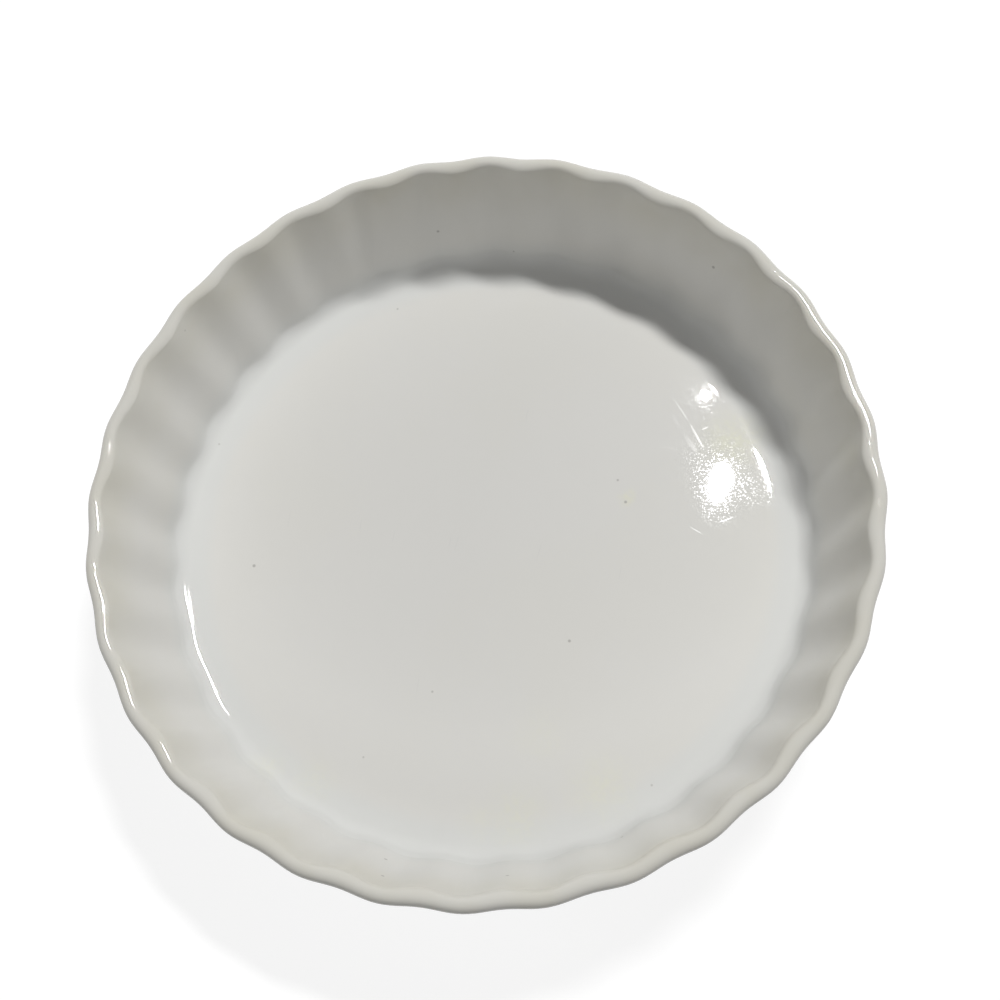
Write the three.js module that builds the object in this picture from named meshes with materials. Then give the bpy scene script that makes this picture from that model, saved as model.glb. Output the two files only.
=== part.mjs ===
// A round fluted creme brulee dish. It is one fired porcelain body under a gloss glaze: the glaze covers the inside,
// the lip and the fluted outside, a second patch of it lies under the floor, and the foot ring between them is bare.
// Millimetres, +Z up. The origin is on the dish's axis, in the plane that the foot ring stands on.
import * as THREE from "three";
import { mergeGeometries } from "three/addons/utils/BufferGeometryUtils.js";

// Sizes of the finished dish, measured over the glaze
const RIM_DIAMETER = 127; // across the lip, midway between the crests and the hollows of the flutes
const DISH_HEIGHT = 25; // from the table to the top of the lip
const FLOOR_THICKNESS = 3.5;
const INNER_LEAN = 19.5; // degrees that the inside of the wall leans out from upright
const OUTER_LEAN = 17.5; // degrees that the outside leans out, less than the inside, so the wall thickens downwards
const LIP_OUTER_RADIUS = 1.4;
const LIP_INNER_RADIUS = 1.3;
const COVE_RADIUS = 3.5; // where the inside of the wall turns into the floor
const SWEEP_RADIUS = 60; // the floor's slow rise towards the cove
const SWEEP_ANGLE = 4.5; // degrees, the floor's slope where it meets the cove
const HEEL_RADIUS = 4; // where the outside of the wall turns under the dish

// Flutes: waves that run up the wall and over the lip
const FLUTE_COUNT = 32;
const FLUTE_DEPTH = 0.55; // from crest to hollow at the lip
const INNER_FLUTE_DEPTH = 0.9; // the same on the inside of the wall, just below the lip
const INNER_FLUTE_FADE = 0.65; // share of that depth left at the bottom of the wall, inside
const OUTER_FLUTE_FADE = 0.6; // share of the lip's depth left at the bottom of the wall, outside

// The foot ring, left bare so that the dish doesn't stick in the kiln
const FOOT_HEIGHT = 1.5;
const FOOT_WIDTH = 3.2;
const FOOT_SETBACK = 2; // from the end of the heel's curve to the ring
const FOOT_CHAMFER = 0.4;

const GLAZE_THICKNESS = 0.3;
const BOND_LINE = 0.01; // hairline between the glaze and the clay under it
const WIPED_MARGIN = 0.4; // bare width beside the ring, where the glaze was wiped back

// Facets
const STEPS_PER_FLUTE = 6;
const LIP_STEPS = 2; // on each side of the lip's crest
const COVE_STEPS = 3;
const SWEEP_STEPS = 1;
const HEEL_STEPS = 3;
const BASE_FACETS = 96;

// Directions that a section's surface faces, in degrees above the horizontal, outwards
const UP = 90;
const DOWN = -90;
const FLOOR_END = UP + SWEEP_ANGLE;
const WALL_INSIDE = 180 - INNER_LEAN;
const WALL_OUTSIDE = -OUTER_LEAN;

const { degToRad } = THREE.MathUtils;
const floorHeight = FOOT_HEIGHT + FLOOR_THICKNESS;
const bodyInset = GLAZE_THICKNESS + BOND_LINE;
const facing = (degrees) => new THREE.Vector2(Math.cos(degToRad(degrees)), Math.sin(degToRad(degrees)));

// The centre of a curve that turns from a straight run, once it stands at the given height. The run leaves a curve
// about another centre, and faces one way all along. A hollow curve has a radius below zero.
function centreAlong(run, radius, height) {
  const side = facing(run.faces);
  const shift = side.clone().multiplyScalar(run.radius - radius);
  const start = run.centre.clone().add(shift);
  const travel = (start.y - height) / side.x;
  return new THREE.Vector2(start.x + travel * side.y, height);
}

// Centres of the section's curves: radius from the axis, and height
const lipCrest = RIM_DIAMETER / 2 - LIP_OUTER_RADIUS;
const lipInner = new THREE.Vector2(lipCrest, DISH_HEIGHT - LIP_INNER_RADIUS);
const lipOuter = new THREE.Vector2(lipCrest, DISH_HEIGHT - LIP_OUTER_RADIUS);
const sweepHeight = floorHeight + SWEEP_RADIUS;
const coveHeight = sweepHeight - (SWEEP_RADIUS - COVE_RADIUS) * Math.cos(degToRad(SWEEP_ANGLE));
const insideRun = { centre: lipInner, radius: LIP_INNER_RADIUS, faces: WALL_INSIDE };
const cove = centreAlong(insideRun, -COVE_RADIUS, coveHeight);
const sweepReach = (SWEEP_RADIUS - COVE_RADIUS) * Math.sin(degToRad(SWEEP_ANGLE));
const sweep = new THREE.Vector2(cove.x - sweepReach, sweepHeight);
const outsideRun = { centre: lipOuter, radius: LIP_OUTER_RADIUS, faces: WALL_OUTSIDE };
const heel = centreAlong(outsideRun, HEEL_RADIUS, FOOT_HEIGHT + HEEL_RADIUS);

const footOuter = heel.x - FOOT_SETBACK;
const footInner = footOuter - FOOT_WIDTH;

// One point of a section: radius from the axis, height, and the depth of the flutes there
const spot = (radius, height, flute = 0) => ({ radius, height, flute });

// Points of a curve of the section, sunk into the material by the inset
function curve(centre, radius, from, to, steps, inset, fluteFrom, fluteTo) {
  const points = [];
  for (let i = 0; i <= steps; i++) {
    const share = i / steps;
    const reach = facing(THREE.MathUtils.lerp(from, to, share)).multiplyScalar(radius - inset);
    const flute = THREE.MathUtils.lerp(fluteFrom, fluteTo, share);
    points.push(spot(centre.x + reach.x, centre.y + reach.y, flute));
  }
  return points;
}

// The glazed surface's section, or that of a face sunk below it by the inset: from where the glaze ends beside the foot
// ring, up the outside, over the lip and down the inside to the middle of the floor
function section(inset) {
  const outsideEnd = FLUTE_DEPTH * OUTER_FLUTE_FADE;
  const insideEnd = INNER_FLUTE_DEPTH * INNER_FLUTE_FADE;
  const innerLip = curve(
    lipInner, LIP_INNER_RADIUS, UP, WALL_INSIDE, LIP_STEPS, inset, FLUTE_DEPTH, INNER_FLUTE_DEPTH,
  );
  const floorRise = curve(sweep, -SWEEP_RADIUS, FLOOR_END, UP, SWEEP_STEPS, inset, 0, 0);
  return [
    spot(footOuter + WIPED_MARGIN, FOOT_HEIGHT + inset),
    ...curve(heel, HEEL_RADIUS, DOWN, WALL_OUTSIDE, HEEL_STEPS, inset, 0, outsideEnd),
    ...curve(lipOuter, LIP_OUTER_RADIUS, WALL_OUTSIDE, UP, LIP_STEPS, inset, FLUTE_DEPTH, FLUTE_DEPTH),
    ...innerLip.slice(1),
    ...curve(cove, -COVE_RADIUS, WALL_INSIDE, FLOOR_END, COVE_STEPS, inset, insideEnd, 0),
    ...floorRise.slice(1),
    spot(0, floorHeight - inset),
  ];
}

// The bare part of the body's section: the ceiling of the recess, the foot ring and the underside just outside it
function footSection() {
  const ceiling = FOOT_HEIGHT + bodyInset;
  return [
    spot(0, ceiling),
    spot(footInner, ceiling),
    spot(footInner, FOOT_CHAMFER),
    spot(footInner + FOOT_CHAMFER, 0),
    spot(footOuter - FOOT_CHAMFER, 0),
    spot(footOuter, FOOT_CHAMFER),
    spot(footOuter, ceiling),
  ];
}

// How far out a flute's wave stands at an angle round the dish, from -1 in a hollow to 1 on a crest
const wave = (angle) => -Math.cos(FLUTE_COUNT * angle);

// A section turned about the axis, with the flutes pressed into it
function turned(points) {
  const outline = points.map((p) => new THREE.Vector2(p.radius, p.height));
  const steps = FLUTE_COUNT * STEPS_PER_FLUTE;
  const geometry = new THREE.LatheGeometry(outline, steps);
  const position = geometry.getAttribute("position");
  for (let i = 0; i < position.count; i++) {
    const { radius, flute } = points[i % points.length];
    if (flute === 0) continue;
    const angle = (Math.floor(i / points.length) / steps) * 2 * Math.PI;
    const spread = 1 + (wave(angle) * flute) / 2 / radius;
    position.setX(i, position.getX(i) * spread);
    position.setZ(i, position.getZ(i) * spread);
  }
  return geometry.rotateX(Math.PI / 2);
}

// The same faces seen from their other side
function reversed(geometry) {
  const faces = geometry.getIndex().array;
  for (let i = 0; i < faces.length; i += 3) {
    [faces[i + 1], faces[i + 2]] = [faces[i + 2], faces[i + 1]];
  }
  return geometry;
}

// The porcelain under the glaze, with the foot ring
function bodyGeometry() {
  return turned([...footSection(), ...section(bodyInset)]);
}

// The glaze as a skin: its outer face, its inner face against the body, and the edge between them beside the foot ring
function glazeGeometry() {
  const outer = section(0);
  const inner = section(GLAZE_THICKNESS);
  return mergeGeometries([turned(outer), reversed(turned(inner)), turned([inner[0], outer[0]])]);
}

// The patch of glaze inside the foot ring, against the ceiling of the recess
function baseGlazeGeometry() {
  const radius = footInner - WIPED_MARGIN;
  const patch = new THREE.CylinderGeometry(radius, radius, GLAZE_THICKNESS, BASE_FACETS);
  return patch.rotateX(Math.PI / 2).translate(0, 0, FOOT_HEIGHT + GLAZE_THICKNESS / 2);
}

function piece(name, geometry, color, roughness) {
  const mesh = new THREE.Mesh(geometry, new THREE.MeshStandardMaterial({ color, roughness, metalness: 0 }));
  mesh.name = name;
  return mesh;
}

const BARE_PORCELAIN = 0xe6e0d4;
const BARE_ROUGHNESS = 0.85;
const WHITE_GLAZE = 0xe7e6e0;
const GLAZE_ROUGHNESS = 0.12;

const dish = new THREE.Group();
dish.add(piece("porcelain_body", bodyGeometry(), BARE_PORCELAIN, BARE_ROUGHNESS));
dish.add(piece("glaze_coat", glazeGeometry(), WHITE_GLAZE, GLAZE_ROUGHNESS));
dish.add(piece("base_glaze", baseGlazeGeometry(), WHITE_GLAZE, GLAZE_ROUGHNESS));

export default dish;
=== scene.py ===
"""Looks of a round fluted creme brulee dish: white gloss glaze on a porcelain body with a bare foot ring."""

import math

import bmesh
import bpy
import numpy as np
from mathutils import Matrix, Vector


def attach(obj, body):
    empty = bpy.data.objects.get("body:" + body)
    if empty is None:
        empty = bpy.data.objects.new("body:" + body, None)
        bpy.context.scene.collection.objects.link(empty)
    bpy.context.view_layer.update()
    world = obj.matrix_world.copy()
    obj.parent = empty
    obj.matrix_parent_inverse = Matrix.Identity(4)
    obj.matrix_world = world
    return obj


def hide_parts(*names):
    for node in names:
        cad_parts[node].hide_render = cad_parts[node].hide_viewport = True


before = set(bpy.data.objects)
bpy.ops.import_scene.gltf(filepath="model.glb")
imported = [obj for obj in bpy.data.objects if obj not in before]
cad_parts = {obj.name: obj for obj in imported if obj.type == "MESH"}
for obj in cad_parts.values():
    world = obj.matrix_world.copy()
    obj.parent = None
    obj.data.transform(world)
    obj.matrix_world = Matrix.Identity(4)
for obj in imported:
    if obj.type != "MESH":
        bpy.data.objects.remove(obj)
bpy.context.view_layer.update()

MM = 0.001

# Sizes of the finished dish in millimetres, and its angles in degrees
RIM_DIAMETER = 126.78  # a shade less than in the solids, whose facets cut across the curves
DISH_HEIGHT = 25
FLOOR_THICKNESS = 3.5
INNER_LEAN = 19.5
OUTER_LEAN = 17.5
LIP_OUTER_RADIUS = 1.4
LIP_INNER_RADIUS = 1.3
COVE_RADIUS = 3.5
SWEEP_RADIUS = 60
SWEEP_ANGLE = 4.5
HEEL_RADIUS = 4
FLUTE_COUNT = 32
FLUTE_DEPTH = 0.54  # also a shade less
INNER_FLUTE_DEPTH = 0.9
INNER_FLUTE_FADE = 0.65
OUTER_FLUTE_FADE = 0.6
FOOT_HEIGHT = 1.5
FOOT_WIDTH = 3.2
FOOT_SETBACK = 2
FOOT_EDGE_RADIUS = 0.4
GLAZE_THICKNESS = 0.3
WIPED_MARGIN = 0.4

# The flutes' unevenness: drifts round the dish as size, waves and phase in radians, and the change in depth
FLUTE_DRIFTS = ((0.0035, 3, 0.8), (0.002, 8, 2.1))
FLUTE_STRENGTH = 0.95
FLUTE_CHANGE = 0.05
FLUTE_CHANGE_WAVES = 5
FLUTE_CHANGE_PHASE = 1.3

# Directions that a section's surface faces, in degrees above the horizontal, outwards
UP = 90
DOWN = -90
FLOOR_END = UP + SWEEP_ANGLE
WALL_INSIDE = 180 - INNER_LEAN
WALL_OUTSIDE = -OUTER_LEAN

# Fineness of the meshes
STEPS_PER_FLUTE = 14
CURVE_STEPS = 14
WALL_STEPS = 10
FLOOR_STEPS = 6
EDGE_STEPS = 5
FLAT_MARGIN = 0.1  # a narrow ring that keeps the flat of the floor from shading into its rise


def facing(degrees):
    angle = math.radians(degrees)
    return np.array([math.cos(angle), math.sin(angle)])


def centre_along(run_centre, run_radius, faces, radius, height):
    """The centre of a curve that turns from a straight run, once it stands at the given height."""
    side = facing(faces)
    start = run_centre + side * (run_radius - radius)
    travel = (start[1] - height) / side[0]
    return np.array([start[0] + travel * side[1], height])


floor_height = FOOT_HEIGHT + FLOOR_THICKNESS
lip_crest = RIM_DIAMETER / 2 - LIP_OUTER_RADIUS
lip_inner = np.array([lip_crest, DISH_HEIGHT - LIP_INNER_RADIUS])
lip_outer = np.array([lip_crest, DISH_HEIGHT - LIP_OUTER_RADIUS])
sweep_height = floor_height + SWEEP_RADIUS
cove_height = sweep_height - (SWEEP_RADIUS - COVE_RADIUS) * math.cos(math.radians(SWEEP_ANGLE))
cove = centre_along(lip_inner, LIP_INNER_RADIUS, WALL_INSIDE, -COVE_RADIUS, cove_height)
sweep_reach = (SWEEP_RADIUS - COVE_RADIUS) * math.sin(math.radians(SWEEP_ANGLE))
sweep = np.array([cove[0] - sweep_reach, sweep_height])
heel = centre_along(lip_outer, LIP_OUTER_RADIUS, WALL_OUTSIDE, HEEL_RADIUS, FOOT_HEIGHT + HEEL_RADIUS)
foot_outer = heel[0] - FOOT_SETBACK
foot_inner = foot_outer - FOOT_WIDTH


def spot(radius, height, flute=0.0):
    """One point of a section: radius, height, and the depth of the flutes there."""
    return np.array([radius, height, flute])


def curve(centre, radius, start, end, inset=0.0, flute_start=0.0, flute_end=0.0, steps=CURVE_STEPS):
    """Points of a curve of the section, sunk into the material by the inset."""
    points = []
    for share in np.linspace(0, 1, steps + 1):
        reach = facing(start + (end - start) * share) * (radius - inset)
        eased = share * share * (3 - 2 * share)
        flute = flute_start + (flute_end - flute_start) * eased
        points.append(spot(centre[0] + reach[0], centre[1] + reach[1], flute))
    return points


def straight(first, last, steps):
    """The points between two points of a section, without those two."""
    return [first + (last - first) * share for share in np.linspace(0, 1, steps + 1)[1:-1]]


def section(inset):
    """The glazed surface, or the body's surface under it, from the foot ring over the lip to the axis."""
    outside_end = FLUTE_DEPTH * OUTER_FLUTE_FADE
    inside_end = INNER_FLUTE_DEPTH * INNER_FLUTE_FADE
    turn = curve(heel, HEEL_RADIUS, DOWN, WALL_OUTSIDE, inset, 0.0, outside_end)
    outer_lip = curve(lip_outer, LIP_OUTER_RADIUS, WALL_OUTSIDE, UP, inset, FLUTE_DEPTH, FLUTE_DEPTH)
    inner_lip = curve(lip_inner, LIP_INNER_RADIUS, UP, WALL_INSIDE, inset, FLUTE_DEPTH, INNER_FLUTE_DEPTH)
    bend = curve(cove, -COVE_RADIUS, WALL_INSIDE, FLOOR_END, inset, inside_end, 0.0)
    rise = curve(sweep, -SWEEP_RADIUS, FLOOR_END, UP, inset)
    flat_edge = spot(rise[-1][0] - FLAT_MARGIN, rise[-1][1])
    middle = spot(0.0, floor_height - inset)
    return [
        spot(foot_outer + WIPED_MARGIN, FOOT_HEIGHT + inset),
        *turn,
        *straight(turn[-1], outer_lip[0], WALL_STEPS),
        *outer_lip,
        *inner_lip[1:],
        *straight(inner_lip[-1], bend[0], WALL_STEPS),
        *bend,
        *rise[1:],
        flat_edge,
        *straight(flat_edge, middle, FLOOR_STEPS),
        middle,
    ]


def foot_section():
    """The bare part of the body: the recess's ceiling, the foot ring and the underside just outside it."""
    ceiling = FOOT_HEIGHT + GLAZE_THICKNESS
    inner_edge = np.array([foot_inner + FOOT_EDGE_RADIUS, FOOT_EDGE_RADIUS])
    outer_edge = np.array([foot_outer - FOOT_EDGE_RADIUS, FOOT_EDGE_RADIUS])
    return [
        spot(0.0, ceiling),
        spot(foot_inner, ceiling),
        *curve(inner_edge, FOOT_EDGE_RADIUS, 180, 270, steps=EDGE_STEPS),
        *curve(outer_edge, FOOT_EDGE_RADIUS, 270, 360, steps=EDGE_STEPS),
        spot(foot_outer, ceiling),
    ]


def base_glaze_section():
    """The patch of glaze inside the foot ring, with a rounded rim."""
    ceiling = FOOT_HEIGHT + GLAZE_THICKNESS
    edge = np.array([foot_inner - WIPED_MARGIN - GLAZE_THICKNESS, ceiling])
    return [
        spot(0.0, FOOT_HEIGHT),
        *curve(edge, GLAZE_THICKNESS, DOWN, 0, steps=EDGE_STEPS),
        spot(0.0, ceiling),
    ]


def wave(angles):
    """How far out the flutes stand round the dish, about -1 in a hollow to 1 on a crest, a little uneven."""
    drift = sum(size * np.sin(waves * angles + phase) for size, waves, phase in FLUTE_DRIFTS)
    strength = FLUTE_STRENGTH + FLUTE_CHANGE * np.sin(FLUTE_CHANGE_WAVES * angles + FLUTE_CHANGE_PHASE)
    return -strength * np.cos(FLUTE_COUNT * (angles + drift))


def turned(name, points):
    """A section that starts and ends on the axis, turned about it, with the flutes pressed in."""
    columns = FLUTE_COUNT * STEPS_PER_FLUTE
    angles = np.arange(columns) * (2 * math.pi / columns)
    rings = np.array(points[1:-1])
    radii = rings[:, 0:1] + rings[:, 2:3] / 2 * wave(angles)[None, :]
    heights = np.repeat(rings[:, 1:2], columns, axis=1)
    grid = np.stack([radii * np.cos(angles), radii * np.sin(angles), heights], axis=2)
    first_pole = np.array([[0.0, 0.0, points[0][1]]])
    last_pole = np.array([[0.0, 0.0, points[-1][1]]])
    vertices = np.vstack([first_pole, grid.reshape(-1, 3), last_pole]) * MM
    ring_count = len(rings)
    top = 1 + (ring_count - 1) * columns
    last = top + columns
    faces = []
    for i in range(columns):
        j = (i + 1) % columns
        faces.append((0, 1 + j, 1 + i))
        for k in range(ring_count - 1):
            low = 1 + k * columns
            high = low + columns
            faces.append((low + i, low + j, high + j, high + i))
        faces.append((top + i, top + j, last))
    mesh = bpy.data.meshes.new(name)
    mesh.from_pydata(vertices.tolist(), [], faces)
    mesh.validate()
    shaped = bmesh.new()
    shaped.from_mesh(mesh)
    bmesh.ops.recalc_face_normals(shaped, faces=shaped.faces)
    shaped.to_mesh(mesh)
    shaped.free()
    for face in mesh.polygons:
        face.use_smooth = True
    piece = bpy.data.objects.new(name, mesh)
    bpy.context.scene.collection.objects.link(piece)
    return piece


def add_node(tree, kind, settings=None, inputs=None):
    """A shader node with its settings and its inputs, each a number, a colour or another node's output."""
    node = tree.nodes.new(kind)
    for key, value in (settings or {}).items():
        setattr(node, key, value)
    for key, value in (inputs or {}).items():
        if isinstance(value, bpy.types.NodeSocket):
            tree.links.new(value, node.inputs[key])
        else:
            node.inputs[key].default_value = value
    return node


def maths(tree, operation, first, second=0.0):
    return add_node(tree, "ShaderNodeMath", {"operation": operation}, {0: first, 1: second}).outputs[0]


def combined(tree, operation, values):
    """Many values brought down to one by the same operation."""
    result = values[0]
    for value in values[1:]:
        result = maths(tree, operation, result, value)
    return result


def total(tree, *values):
    return combined(tree, "ADD", values)


def product(tree, *values):
    return combined(tree, "MULTIPLY", values)


def largest(tree, *values):
    return combined(tree, "MAXIMUM", values)


def vector_maths(tree, operation, *vectors):
    return add_node(tree, "ShaderNodeVectorMath", {"operation": operation}, dict(enumerate(vectors)))


def ramp(tree, value, low, high, start=0.0, end=1.0):
    """A smooth change from start to end while the value goes from low to high."""
    settings = {"interpolation_type": "SMOOTHSTEP"}
    if low > high:
        low, high, start, end = high, low, end, start
    inputs = {"Value": value, "From Min": low, "From Max": high, "To Min": start, "To Max": end}
    return add_node(tree, "ShaderNodeMapRange", settings, inputs).outputs[0]


def fade(tree, length, ends):
    """A smooth change from nought to one while a length goes between two ends given in millimetres."""
    first, last = ends
    return ramp(tree, length, first * MM, last * MM)


def noise(tree, place, size, detail):
    """Cloudy noise from nought to one, with clouds of about the given size."""
    inputs = {"Vector": place, "Scale": 1 / size, "Detail": detail}
    return add_node(tree, "ShaderNodeTexNoise", inputs=inputs).outputs[0]


def clouds(tree, place, size, detail, edges, levels=(0.0, 1.0)):
    """Soft patches in cloudy noise, with the noise at their edges and the levels outside and inside them."""
    return ramp(tree, noise(tree, place, size, detail), *edges, *levels)


def tint(tree, factor, first, second):
    """A colour that goes from the first to the second with the factor."""
    node = add_node(tree, "ShaderNodeMix", {"data_type": "RGBA"}, {0: factor, 6: first, 7: second})
    return node.outputs[2]


def stretched(tree, place, turn, length, width, centre=(0, 0)):
    """Flat coordinates about a centre, turned by degrees, with the length and width in metres as units."""
    inputs = {
        "Vector": place,
        "Location": (*centre, 0),
        "Rotation": (0, 0, math.radians(turn)),
        "Scale": (length, width, 1),
    }
    return add_node(tree, "ShaderNodeMapping", {"vector_type": "TEXTURE"}, inputs).outputs[0]


def cells(tree, place, size, dimensions="3D"):
    """Distance to the nearest of many scattered points, in their spacings, and a random number for each."""
    settings = {"voronoi_dimensions": dimensions}
    node = add_node(tree, "ShaderNodeTexVoronoi", settings, {"Vector": place, "Scale": 1 / size})
    lots = add_node(tree, "ShaderNodeSeparateColor", inputs={0: node.outputs["Color"]})
    return node.outputs["Distance"], lots.outputs[0]


def specks(tree, place, spacing, reach, share):
    """Small round dots on a share of many points scattered at a spacing in millimetres."""
    distance, lot = cells(tree, place, spacing * MM)
    dot = ramp(tree, distance, reach, reach / 2)
    return product(tree, dot, maths(tree, "LESS_THAN", lot, share))


def hairlines(tree, place, turn, length, spacing, reach, share):
    """Fine tapered scratches that run one way, on a share of many scattered points, sizes in millimetres."""
    lines = stretched(tree, place, turn, length * MM, spacing * MM)
    distance, lot = cells(tree, lines, 1.0, "2D")
    line = ramp(tree, distance, reach, reach / 3)
    return product(tree, line, maths(tree, "LESS_THAN", lot, share))


def new_material(name):
    material = bpy.data.materials.new(name)
    material.use_nodes = True
    tree = material.node_tree
    tree.nodes.clear()
    return material, tree


def where(tree):
    """Place on the object in metres, distance from the axis, and height."""
    place = add_node(tree, "ShaderNodeTexCoord").outputs["Object"]
    parts = add_node(tree, "ShaderNodeSeparateXYZ", inputs={0: place})
    flat = vector_maths(tree, "MULTIPLY", place, (1, 1, 0)).outputs[0]
    reach = vector_maths(tree, "LENGTH", flat).outputs["Value"]
    return place, reach, parts.outputs["Z"]


def finish_material(tree, colour, roughness, height, ior):
    """The shader, with a bump whose height is in metres."""
    bump = add_node(tree, "ShaderNodeBump", inputs={"Strength": 1.0, "Distance": 1.0, "Height": height})
    shader = add_node(tree, "ShaderNodeBsdfPrincipled", inputs={
        "Base Color": colour,
        "Roughness": roughness,
        "IOR": ior,
        "Normal": bump.outputs[0],
    })
    add_node(tree, "ShaderNodeOutputMaterial", inputs={"Surface": shader.outputs["BSDF"]})


# Colours of the glaze
GLAZE_WHITE = (0.700, 0.693, 0.664, 1)
GLAZE_CREAM = (0.694, 0.684, 0.640, 1)  # drifts across the white
GLAZE_THIN_AND_SHADE = (0.655, 0.638, 0.570, 1)  # warmer where the glaze thins over the lip, and darker as painted shade
GLAZE_POOLED = (0.680, 0.684, 0.664, 1)  # thick, in the cove and at the heel
FOOD_STAIN = (0.725, 0.722, 0.608, 1)
PIT_GREY = (0.36, 0.35, 0.33, 1)
METAL_MARK = (0.56, 0.56, 0.55, 1)

# Where the glaze changes: distances from the axis and heights in millimetres, from no effect to the full one
FLOOR_RADII = (51.5, 47.5)
FLOOR_HEIGHTS = (3.0, 4.5)
POOL_RADII = (47, 50.5)
POOL_HEIGHTS = (11, 6)
# upper walls and lip: the glaze is warmer where it thins there, and darkened by painted shade as well
THIN_AND_SHADE_HEIGHTS = (13, 24.5)

# Stains on the floor: centre and radius in millimetres, and strength
STAINS = (
    (45.0, 4.5, 7.0, 1.0),
    (24.6, -0.2, 1.3, 1.0),
    (-8.0, -46.5, 6.5, 0.5),
    (6.0, -46.0, 7.0, 0.6),
    (-1.0, -35.5, 6.0, 0.3),
    (-14.0, -46.0, 4.0, 0.35),
    (-45.0, -28.0, 4.0, 0.4),
    (-38.0, -32.0, 5.0, 0.35),
)
STAIN_CORE = 0.8  # radius of the full colour, in millimetres
STAIN_FRINGE = 2.5  # how far the faintest colour goes past the radius
STAIN_RAGGEDNESS = 3.0  # how far the edge is pulled in, in patches of the next size
STAIN_PATCH = 2.2
STAIN_MOTTLE = 0.9

# Worn patches on the floor: centre and radius in millimetres, and strength
WORN_PATCHES = (
    (40.5, -1.5, 8.0, 0.7),
    (37.9, 4.4, 4.5, 0.7),
    (45.8, -5.5, 5.0, 1.0),
    (38.4, -7.5, 4.5, 0.8),
    (43.0, 13.8, 4.0, 0.7),
)

# Scratches that catch the light: both ends and the width in millimetres, and strength
SCRATCHES = (
    (37.6, 16.3, 39.3, 8.9, 0.45, 0.8),
    (38.9, 10.9, 40.0, 3.6, 0.6, 0.9),
    (36.1, 13.6, 37.7, 8.3, 0.9, 0.45),
    (37.2, 9.4, 38.8, 3.0, 1.6, 0.4),
    (40.4, 7.9, 42.2, 8.2, 0.45, 1.0),
    (37.4, -9.2, 41.1, -9.0, 0.3, 1.0),
    (32.8, -8.1, 35.1, -10.8, 0.3, 0.9),
    (29.1, 4.8, 28.1, 2.0, 0.4, 0.45),
    (30.5, 9.5, 33.5, 6.5, 1.2, 0.25),
)
SCRATCH_CORE = 0.3  # share of a scratch's width that has its full strength

# Dots: spacing in millimetres, reach as a share of it, and the share of points that have a dot
PITS = (6.0, 0.06, 0.35)
GRAINS = (0.36, 0.45, 0.9)
CLAY_SPECKS = (2.2, 0.06, 0.3)

# Hairlines: degrees, length and spacing in millimetres, reach in spacings, and the share of points with one
CUTLERY_MARKS = (64, 26, 0.9, 0.075, 0.05)
FINE_SCRATCHES = (
    (108, 34, 0.7, 0.1, 0.16),
    (24, 26, 0.6, 0.1, 0.12),
    (152, 30, 0.7, 0.1, 0.1),
)
BEND_LENGTH = 14  # the hairlines bend over this length in millimetres, by up to the next
BEND_REACH = 4
STREAK_TURN = 112  # worn streaks: direction in degrees, length and width in millimetres
STREAK_LENGTH = 20
STREAK_WIDTH = 7

# How much of a mark's colour shows
PIT_STRENGTH = 0.7
MARK_STRENGTH = 0.3
WEAR_STRENGTH = 0.75
SPECK_STRENGTH = 0.7

# Roughness of the glaze, its least and most as shares of that, and the roughness of scratches and grains
GLAZE_ROUGHNESS = 0.014
SMOOTHEST = 0.8
DULLEST = 1.4
SCRATCH_ROUGHNESS = 0.15
GRAIN_ROUGHNESS = 0.1
GLAZE_IOR = 1.5

# Relief of the surfaces in metres
WAVE_HEIGHT = 3e-6
PEEL_HEIGHT = 2.5e-7
MARK_HEIGHT = -1.5e-6
CLAY_GRAIN_HEIGHT = 1.2e-5


def floor_distance(tree, place, x, y):
    """Distance from a point of the dish's floor, given in millimetres."""
    centre = (x * MM, y * MM, floor_height * MM)
    return vector_maths(tree, "DISTANCE", place, centre).outputs["Value"]


def floor_stains(tree, place):
    """Faint yellow stains with soft uneven edges."""
    ragged = product(tree, noise(tree, place, size=STAIN_PATCH * MM, detail=3.0), STAIN_RAGGEDNESS * MM)
    stains = []
    for x, y, radius, strength in STAINS:
        edge = total(tree, floor_distance(tree, place, x, y), ragged)
        stains.append(ramp(tree, edge, (radius + STAIN_FRINGE) * MM, STAIN_CORE * MM, 0.0, strength))
    mottle = clouds(tree, place, size=STAIN_MOTTLE * MM, detail=2.0, edges=(0.35, 0.65), levels=(0.45, 1.0))
    return product(tree, largest(tree, *stains), mottle)


def worn_patches(tree, place):
    """Soft round patches where the glaze has lost some of its polish."""
    patches = []
    for x, y, radius, strength in WORN_PATCHES:
        gap = floor_distance(tree, place, x, y)
        patches.append(ramp(tree, gap, radius * MM, radius / 3 * MM, 0.0, strength))
    return largest(tree, *patches)


def single_scratches(tree, place):
    """The scratches of the list, each widest in the middle and pointed at its ends."""
    lines = []
    for x1, y1, x2, y2, width, strength in SCRATCHES:
        centre = ((x1 + x2) / 2 * MM, (y1 + y2) / 2 * MM)
        half_length = math.hypot(x2 - x1, y2 - y1) / 2 * MM
        turn = math.degrees(math.atan2(y2 - y1, x2 - x1))
        along = stretched(tree, place, turn, half_length, width / 2 * MM, centre)
        gap = vector_maths(tree, "LENGTH", along).outputs["Value"]
        lines.append(ramp(tree, gap, 1.0, SCRATCH_CORE, 0.0, strength))
    return largest(tree, *lines)


def bent_place(tree, place):
    """The place, pushed about a little from side to side, so that lines drawn on it bend."""
    inputs = {"Vector": place, "Scale": 1 / (BEND_LENGTH * MM)}
    push = add_node(tree, "ShaderNodeTexNoise", inputs=inputs).outputs["Color"]
    reach = (BEND_REACH * MM, BEND_REACH * MM, 0)
    return vector_maths(tree, "MULTIPLY_ADD", push, reach, place).outputs[0]


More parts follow.
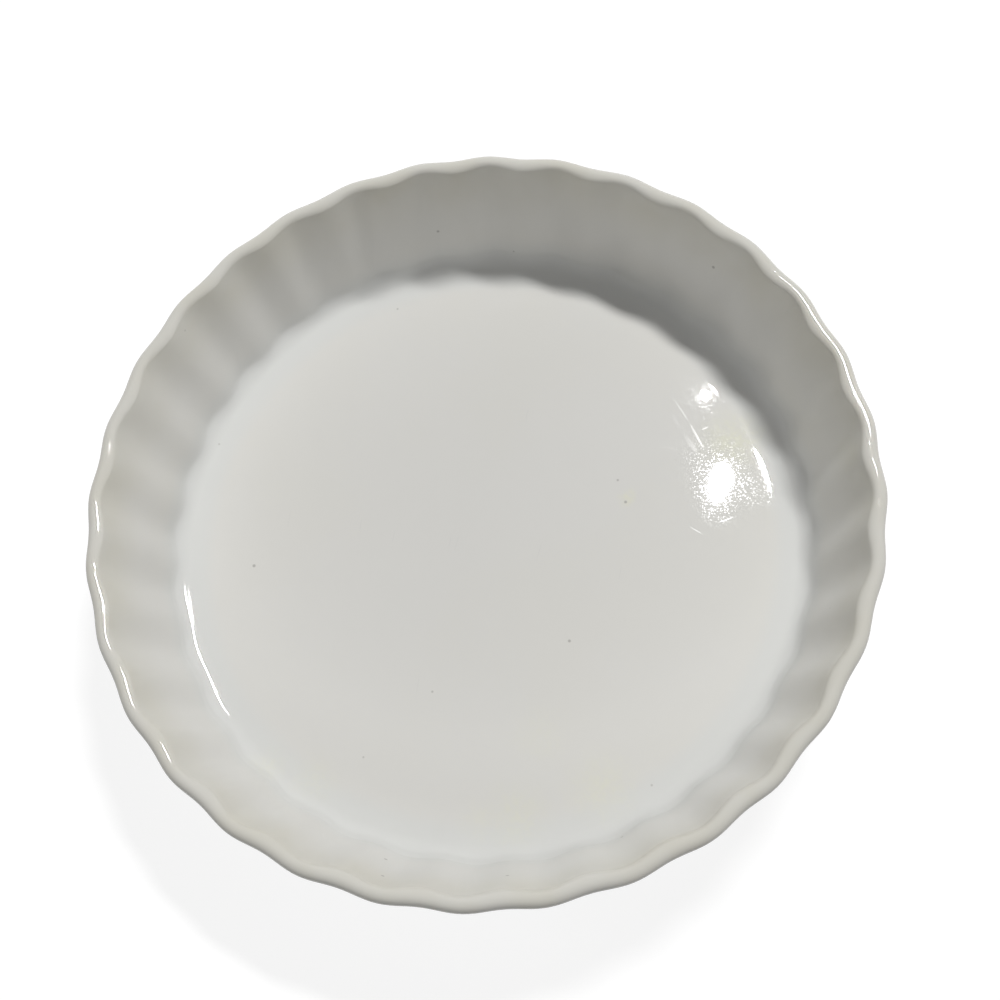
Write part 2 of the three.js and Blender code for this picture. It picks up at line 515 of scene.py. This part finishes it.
def glaze_material():
    material, tree = new_material("white_gloss_glaze")
    place, radius, height = where(tree)
    bent = bent_place(tree, place)
    on_floor = product(tree, fade(tree, radius, FLOOR_RADII), fade(tree, height, FLOOR_HEIGHTS))

    # The white drifts to cream, pools in the cove, and near the lip is warmer where it thins and darker with
    # painted shade
    drift = clouds(tree, place, size=34 * MM, detail=3.0, edges=(0.42, 0.68), levels=(0.0, 0.45))
    colour = tint(tree, drift, GLAZE_WHITE, GLAZE_CREAM)
    pooled = product(tree, fade(tree, height, POOL_HEIGHTS), fade(tree, radius, POOL_RADII))
    colour = tint(tree, pooled, colour, GLAZE_POOLED)
    uneven = clouds(tree, place, size=9 * MM, detail=2.0, edges=(0.3, 0.7), levels=(0.55, 1.0))
    # painted shade: the upper walls and the lip are darkened here, as well as warmed by the thin glaze
    thin_and_shade = product(tree, fade(tree, height, THIN_AND_SHADE_HEIGHTS), uneven)
    colour = tint(tree, thin_and_shade, colour, GLAZE_THIN_AND_SHADE)
    colour = tint(tree, floor_stains(tree, place), colour, FOOD_STAIN)

    # Pinholes all over, and grey cutlery marks and hairline scratches on the floor
    pits = specks(tree, place, *PITS)
    colour = tint(tree, product(tree, pits, PIT_STRENGTH), colour, PIT_GREY)
    marks = product(tree, hairlines(tree, bent, *CUTLERY_MARKS), on_floor)
    colour = tint(tree, product(tree, marks, MARK_STRENGTH), colour, METAL_MARK)
    scratches = total(tree, *[hairlines(tree, bent, *lines) for lines in FINE_SCRATCHES])
    scratches = product(tree, scratches, on_floor)

    # Fine dull grains, thickest in worn streaks and patches
    along_streaks = stretched(tree, bent, STREAK_TURN, STREAK_LENGTH * MM, STREAK_WIDTH * MM)
    streaks = clouds(tree, along_streaks, size=1.0, detail=4.0, edges=(0.44, 0.62), levels=(0.2, 0.6))
    haze = product(tree, largest(tree, streaks, worn_patches(tree, place)), on_floor)
    grains = product(tree, specks(tree, place, *GRAINS), haze)
    lines = largest(tree, scratches, single_scratches(tree, place))
    worn = largest(tree, product(tree, lines, SCRATCH_ROUGHNESS), product(tree, grains, GRAIN_ROUGHNESS))
    levels = (GLAZE_ROUGHNESS * SMOOTHEST, GLAZE_ROUGHNESS * DULLEST)
    polish = clouds(tree, place, size=22 * MM, detail=2.0, edges=(0.3, 0.7), levels=levels)
    roughness = total(tree, worn, polish)

    # Slow waves of the fired glaze, orange peel, and the marks sunk into it
    waves = product(tree, noise(tree, place, size=11 * MM, detail=1.0), WAVE_HEIGHT)
    peel = product(tree, noise(tree, place, size=1.1 * MM, detail=2.0), PEEL_HEIGHT)
    sunk = product(tree, total(tree, scratches, pits), MARK_HEIGHT)
    finish_material(tree, colour, roughness, total(tree, waves, peel, sunk), GLAZE_IOR)
    return material


# The bare porcelain
BARE_CREAM = (0.72, 0.68, 0.6, 1)
BARE_WARM = (0.66, 0.59, 0.49, 1)
BARE_SPECK = (0.35, 0.27, 0.2, 1)
TABLE_WEAR = (0.5, 0.47, 0.43, 1)
WEAR_HEIGHTS = (0.5, 0.1)  # millimetres above the table, from no wear to the most
BARE_IOR = 1.45


def bare_material():
    material, tree = new_material("bare_porcelain")
    place, _, height = where(tree)
    warmth = clouds(tree, place, size=9 * MM, detail=4.0, edges=(0.35, 0.7))
    colour = tint(tree, warmth, BARE_CREAM, BARE_WARM)
    scuffs = clouds(tree, place, size=3.5 * MM, detail=4.0, edges=(0.42, 0.66))
    worn = product(tree, fade(tree, height, WEAR_HEIGHTS), scuffs)
    colour = tint(tree, product(tree, worn, WEAR_STRENGTH), colour, TABLE_WEAR)
    dots = specks(tree, place, *CLAY_SPECKS)
    colour = tint(tree, product(tree, dots, SPECK_STRENGTH), colour, BARE_SPECK)
    roughness = clouds(tree, place, size=2.5 * MM, detail=3.0, edges=(0.3, 0.7), levels=(0.72, 0.95))
    grain = product(tree, noise(tree, place, size=0.35 * MM, detail=3.0), CLAY_GRAIN_HEIGHT)
    finish_material(tree, colour, roughness, grain, BARE_IOR)
    return material


glazed_section = section(0.0)
under_glaze = section(GLAZE_THICKNESS)
glaze = turned("gloss_glaze", list(reversed(glazed_section)) + under_glaze)
body = turned("bisque_body", foot_section() + under_glaze)
base = turned("underside_glaze", base_glaze_section())

white_glaze = glaze_material()
glaze.data.materials.append(white_glaze)
base.data.materials.append(white_glaze)
body.data.materials.append(bare_material())

for piece, node, slot in (
    (glaze, "glaze_coat", "white_glaze"),
    (base, "base_glaze", "white_glaze"),
    (body, "porcelain_body", "bare_porcelain"),
):
    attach(piece, "root")
    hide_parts(node)

# The studio: its colours, its lengths in metres, and how bright its floor and sky look
WHITE = (1, 1, 1, 1)
FLOOR_HALF_WIDTH = 3.0
FLOOR_GREY = (0.22, 0.22, 0.22, 1)
NEAR_GLOW = 0.86  # close to the dish, rising to full white far from it
FAR_GLOW = 1.0
GLOW_START = 0.15
GLOW_END = 0.6
AMBIENT = 0.02


def seen_directly(tree):
    """One where the camera or a mirror-like surface looks, and nought for the light that falls on things."""
    path = add_node(tree, "ShaderNodeLightPath").outputs
    return largest(tree, path["Is Camera Ray"], path["Is Glossy Ray"], path["Is Transmission Ray"])


def pale_floor():
    """A pale floor that shows white to the camera and keeps the dish's shadow."""
    corners = [(-1, -1, 0), (1, -1, 0), (1, 1, 0), (-1, 1, 0)]
    mesh = bpy.data.meshes.new("studio_floor")
    mesh.from_pydata([Vector(corner) * FLOOR_HALF_WIDTH for corner in corners], [], [(0, 1, 2, 3)])
    material, tree = new_material("pale_floor")
    matt = add_node(tree, "ShaderNodeBsdfDiffuse", inputs={"Color": FLOOR_GREY})
    _, reach, _ = where(tree)
    level = product(tree, seen_directly(tree), ramp(tree, reach, GLOW_START, GLOW_END, NEAR_GLOW, FAR_GLOW))
    glow = add_node(tree, "ShaderNodeEmission", inputs={"Color": WHITE, "Strength": level})
    both = add_node(tree, "ShaderNodeAddShader", inputs={0: matt.outputs[0], 1: glow.outputs[0]})
    add_node(tree, "ShaderNodeOutputMaterial", inputs={"Surface": both.outputs[0]})
    mesh.materials.append(material)
    ground = bpy.data.objects.new("studio_floor", mesh)
    bpy.context.scene.collection.objects.link(ground)
    return ground


def studio_world():
    """A little light from all round, and white where it is looked at."""
    world = bpy.data.worlds.new("studio")
    world.use_nodes = True
    tree = world.node_tree
    tree.nodes.clear()
    level = ramp(tree, seen_directly(tree), 0.0, 1.0, AMBIENT, 1.0)
    sky = add_node(tree, "ShaderNodeBackground", inputs={"Color": WHITE, "Strength": level})
    add_node(tree, "ShaderNodeOutputWorld", inputs={"Surface": sky.outputs[0]})
    return world


def lamp(name, azimuth, elevation, distance, size, power):
    """An oval lamp that points at the dish, placed by its direction from it in degrees."""
    light = bpy.data.lights.new(name, "AREA")
    light.shape = "ELLIPSE"
    light.size, light.size_y = size
    light.energy = power
    holder = bpy.data.objects.new(name, light)
    flat = math.cos(math.radians(elevation))
    direction = Vector((
        flat * math.cos(math.radians(azimuth)),
        flat * math.sin(math.radians(azimuth)),
        math.sin(math.radians(elevation)),
    ))
    holder.location = direction * distance + Vector((0, 0, floor_height * MM))
    holder.rotation_euler = direction.to_track_quat("Z", "Y").to_euler()
    bpy.context.scene.collection.objects.link(holder)
    return holder


pale_floor()
bpy.context.scene.world = studio_world()

# A broad main lamp, three soft fills that don't mirror in the glaze, and two small lamps that only glint
lamp("main_lamp", azimuth=42.5, elevation=56.5, distance=3.0, size=(0.84, 0.26), power=75)
fills = (
    lamp("near_fill", azimuth=246, elevation=44, distance=3.0, size=(1.4, 0.9), power=11),
    lamp("low_fill", azimuth=280, elevation=11, distance=3.0, size=(1.2, 0.3), power=10),
    lamp("side_fill", azimuth=155, elevation=14, distance=3.0, size=(1.0, 0.6), power=14),
)
glints = (
    lamp("ceiling_lamp", azimuth=58.4, elevation=67.2, distance=1.207, size=(0.021, 0.042), power=0.9),
    lamp("small_lamp", azimuth=62.1, elevation=63.2, distance=1.214, size=(0.009, 0.010), power=0.075),
)
for fill in fills:
    fill.visible_glossy = False
for glint in glints:
    glint.visible_diffuse = False

# The camera, from the rim's outline in the photograph, with distances as shares of the rim's radius
CAMERA_BACK = 1.2904
CAMERA_ABOVE = 3.1678
AIM_RIGHT = 0.0511
AIM_BACK = 0.0339
CAMERA_ROLL = -13.93  # degrees
SENSOR_WIDTH = 36.0  # millimetres, as the focal length
FOCAL_LENGTH = 49.48
NEAREST_SEEN = 0.01  # metres

camera_data = bpy.data.cameras.new("camera")
camera_data.sensor_width = SENSOR_WIDTH
camera_data.lens = FOCAL_LENGTH
camera_data.clip_start = NEAREST_SEEN
camera = bpy.data.objects.new("camera", camera_data)
rim_radius = RIM_DIAMETER / 2 * MM
rim_centre = Vector((0, 0, DISH_HEIGHT * MM))
eye = rim_centre + Vector((0, -CAMERA_BACK, CAMERA_ABOVE)) * rim_radius
aim = rim_centre + Vector((AIM_RIGHT, -AIM_BACK, 0)) * rim_radius
level_view = (eye - aim).to_track_quat("Z", "Y").to_matrix()
rolled_view = level_view @ Matrix.Rotation(math.radians(CAMERA_ROLL), 3, "Z")
camera.matrix_world = Matrix.Translation(eye) @ rolled_view.to_4x4()
bpy.context.scene.collection.objects.link(camera)
bpy.context.scene.camera = camera
bpy.context.scene.view_settings.view_transform = "Standard"
